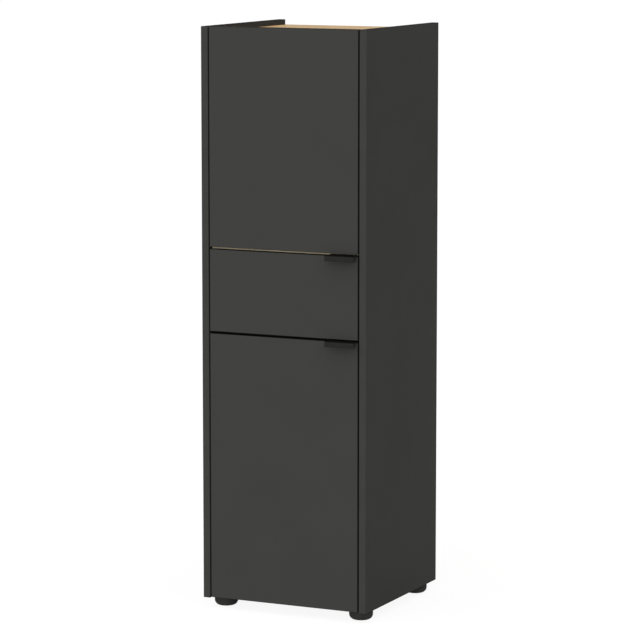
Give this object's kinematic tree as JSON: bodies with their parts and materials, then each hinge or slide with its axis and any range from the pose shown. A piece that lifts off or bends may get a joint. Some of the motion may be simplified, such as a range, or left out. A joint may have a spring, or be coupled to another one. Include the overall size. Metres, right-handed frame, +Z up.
{
  "type": "tall cabinet",
  "caption": "Tall narrow free-standing cabinet: an upper and a lower door with a drawer between them, inset between dark side panels, oak top, short bent-metal edge pulls, round feet.",
  "frame": {"origin": "on the floor, at the middle of the width and of the whole depth with the pulls", "axes": "+Z up, +Y to the back, +X to the right when facing the fronts"},
  "size_m": [0.39, 0.401, 1.2705],
  "materials": {
    "graphite_board": "matt graphite foil on particle board",
    "oak_board": "satin light oak foil on particle board",
    "hardboard": "thin fibreboard, graphite foil on the inner face, bare outside",
    "beech": "raw beech",
    "black_metal": "matt black powder coat",
    "white_metal": "satin white epoxy coat",
    "zinc_steel": "bright zinc plated",
    "dark_plastic": "fine-grained dark plastic",
    "nylon": "natural nylon",
    "clear_rubber": "soft translucent"
  },
  "bodies": {
    "cabinet": {"left_side_panel": "graphite_board", "right_side_panel": "graphite_board", "top_board": "oak_board", "upper_fixed_shelf": "oak_board", "lower_fixed_shelf": "graphite_board", "bottom_board": "graphite_board", "back_panel": "hardboard", "back_panel_nails": "zinc_steel", "upper_loose_shelf": "graphite_board", "lower_loose_shelf": "graphite_board", "shelf_pins": "zinc_steel", "feet": "dark_plastic", "foot_screws": "zinc_steel", "cam_discs": "zinc_steel", "cam_bolts": "zinc_steel", "dowels": "beech", "door_bumpers": "clear_rubber", "upper_door_hinge_arms": "zinc_steel", "upper_door_hinge_plates": "zinc_steel", "upper_door_plate_screws": "zinc_steel", "lower_door_hinge_arms": "zinc_steel", "lower_door_hinge_plates": "zinc_steel", "lower_door_plate_screws": "zinc_steel", "left_cabinet_runner": "white_metal", "right_cabinet_runner": "white_metal", "cabinet_runner_axles": "zinc_steel", "cabinet_runner_screws": "zinc_steel"},
    "upper_door": {"upper_door": "graphite_board", "upper_door_hinge_cups": "zinc_steel", "upper_door_cup_screws": "zinc_steel"},
    "upper_door_links": {"upper_door_main_links": "zinc_steel"},
    "upper_door_guides": {"upper_door_guide_links": "zinc_steel"},
    "lower_door": {"lower_door": "graphite_board", "lower_door_hinge_cups": "zinc_steel", "lower_door_cup_screws": "zinc_steel", "lower_door_pull": "black_metal", "lower_door_pull_screws": "zinc_steel"},
    "lower_door_links": {"lower_door_main_links": "zinc_steel"},
    "lower_door_guides": {"lower_door_guide_links": "zinc_steel"},
    "drawer": {"drawer_front": "graphite_board", "drawer_left_side": "graphite_board", "drawer_right_side": "graphite_board", "drawer_back": "graphite_board", "drawer_bottom": "hardboard", "drawer_pull": "black_metal", "drawer_pull_screws": "zinc_steel", "drawer_cam_discs": "zinc_steel", "drawer_cam_bolts": "zinc_steel", "drawer_back_screws": "zinc_steel", "left_drawer_runner": "white_metal", "right_drawer_runner": "white_metal", "drawer_runner_axles": "zinc_steel", "drawer_runner_screws": "zinc_steel"},
    "drawer_rollers": {"drawer_runner_rollers": "nylon"},
    "cabinet_rollers": {"cabinet_runner_rollers": "nylon"}
  },
  "joints": [
    {"name": "upper_door_links_turn", "type": "hinge", "parent": "cabinet", "child": "upper_door_links", "pos_m": [-0.1489, -0.1636, 1.0335], "axis": [0, 0, -1], "range_deg": [-38.01, 0]},
    {"name": "upper_door_swing", "type": "hinge", "parent": "upper_door_links", "child": "upper_door", "pos_m": [-0.1666, -0.1695, 1.0335], "axis": [0, 0, -1], "range_deg": [0, 133]},
    {"name": "upper_door_guides_turn", "type": "hinge", "parent": "cabinet", "child": "upper_door_guides", "pos_m": [-0.133, -0.1599, 1.0335], "axis": [0, 0, -1], "range_deg": [-32.31, 0]},
    {"name": "lower_door_links_turn", "type": "hinge", "parent": "cabinet", "child": "lower_door_links", "pos_m": [-0.1489, -0.1636, 0.3165], "axis": [0, 0, -1], "range_deg": [-38.01, 0]},
    {"name": "lower_door_swing", "type": "hinge", "parent": "lower_door_links", "child": "lower_door", "pos_m": [-0.1666, -0.1695, 0.3165], "axis": [0, 0, -1], "range_deg": [0, 133]},
    {"name": "lower_door_guides_turn", "type": "hinge", "parent": "cabinet", "child": "lower_door_guides", "pos_m": [-0.133, -0.1599, 0.3165], "axis": [0, 0, -1], "range_deg": [-32.31, 0]},
    {"name": "drawer_slide", "type": "slide", "parent": "cabinet", "child": "drawer", "axis": [0, -1, 0], "range_m": [0, 0.26]},
    {"name": "cabinet_rollers_turn", "type": "hinge", "parent": "cabinet", "child": "cabinet_rollers", "pos_m": [0, -0.1485, 0.63795], "axis": [1, 0, 0], "continuous": true},
    {"name": "drawer_rollers_turn", "type": "hinge", "parent": "drawer", "child": "drawer_rollers", "pos_m": [0, 0.1745, 0.63675], "axis": [1, 0, 0], "continuous": true}
  ],
  "couplings": [
    {"joint": "upper_door_links_turn", "follows": "upper_door_swing", "ratio": -0.28571},
    {"joint": "upper_door_guides_turn", "follows": "upper_door_swing", "ratio": -0.24286},
    {"joint": "lower_door_links_turn", "follows": "lower_door_swing", "ratio": -0.28571},
    {"joint": "lower_door_guides_turn", "follows": "lower_door_swing", "ratio": -0.24286}
  ]
}
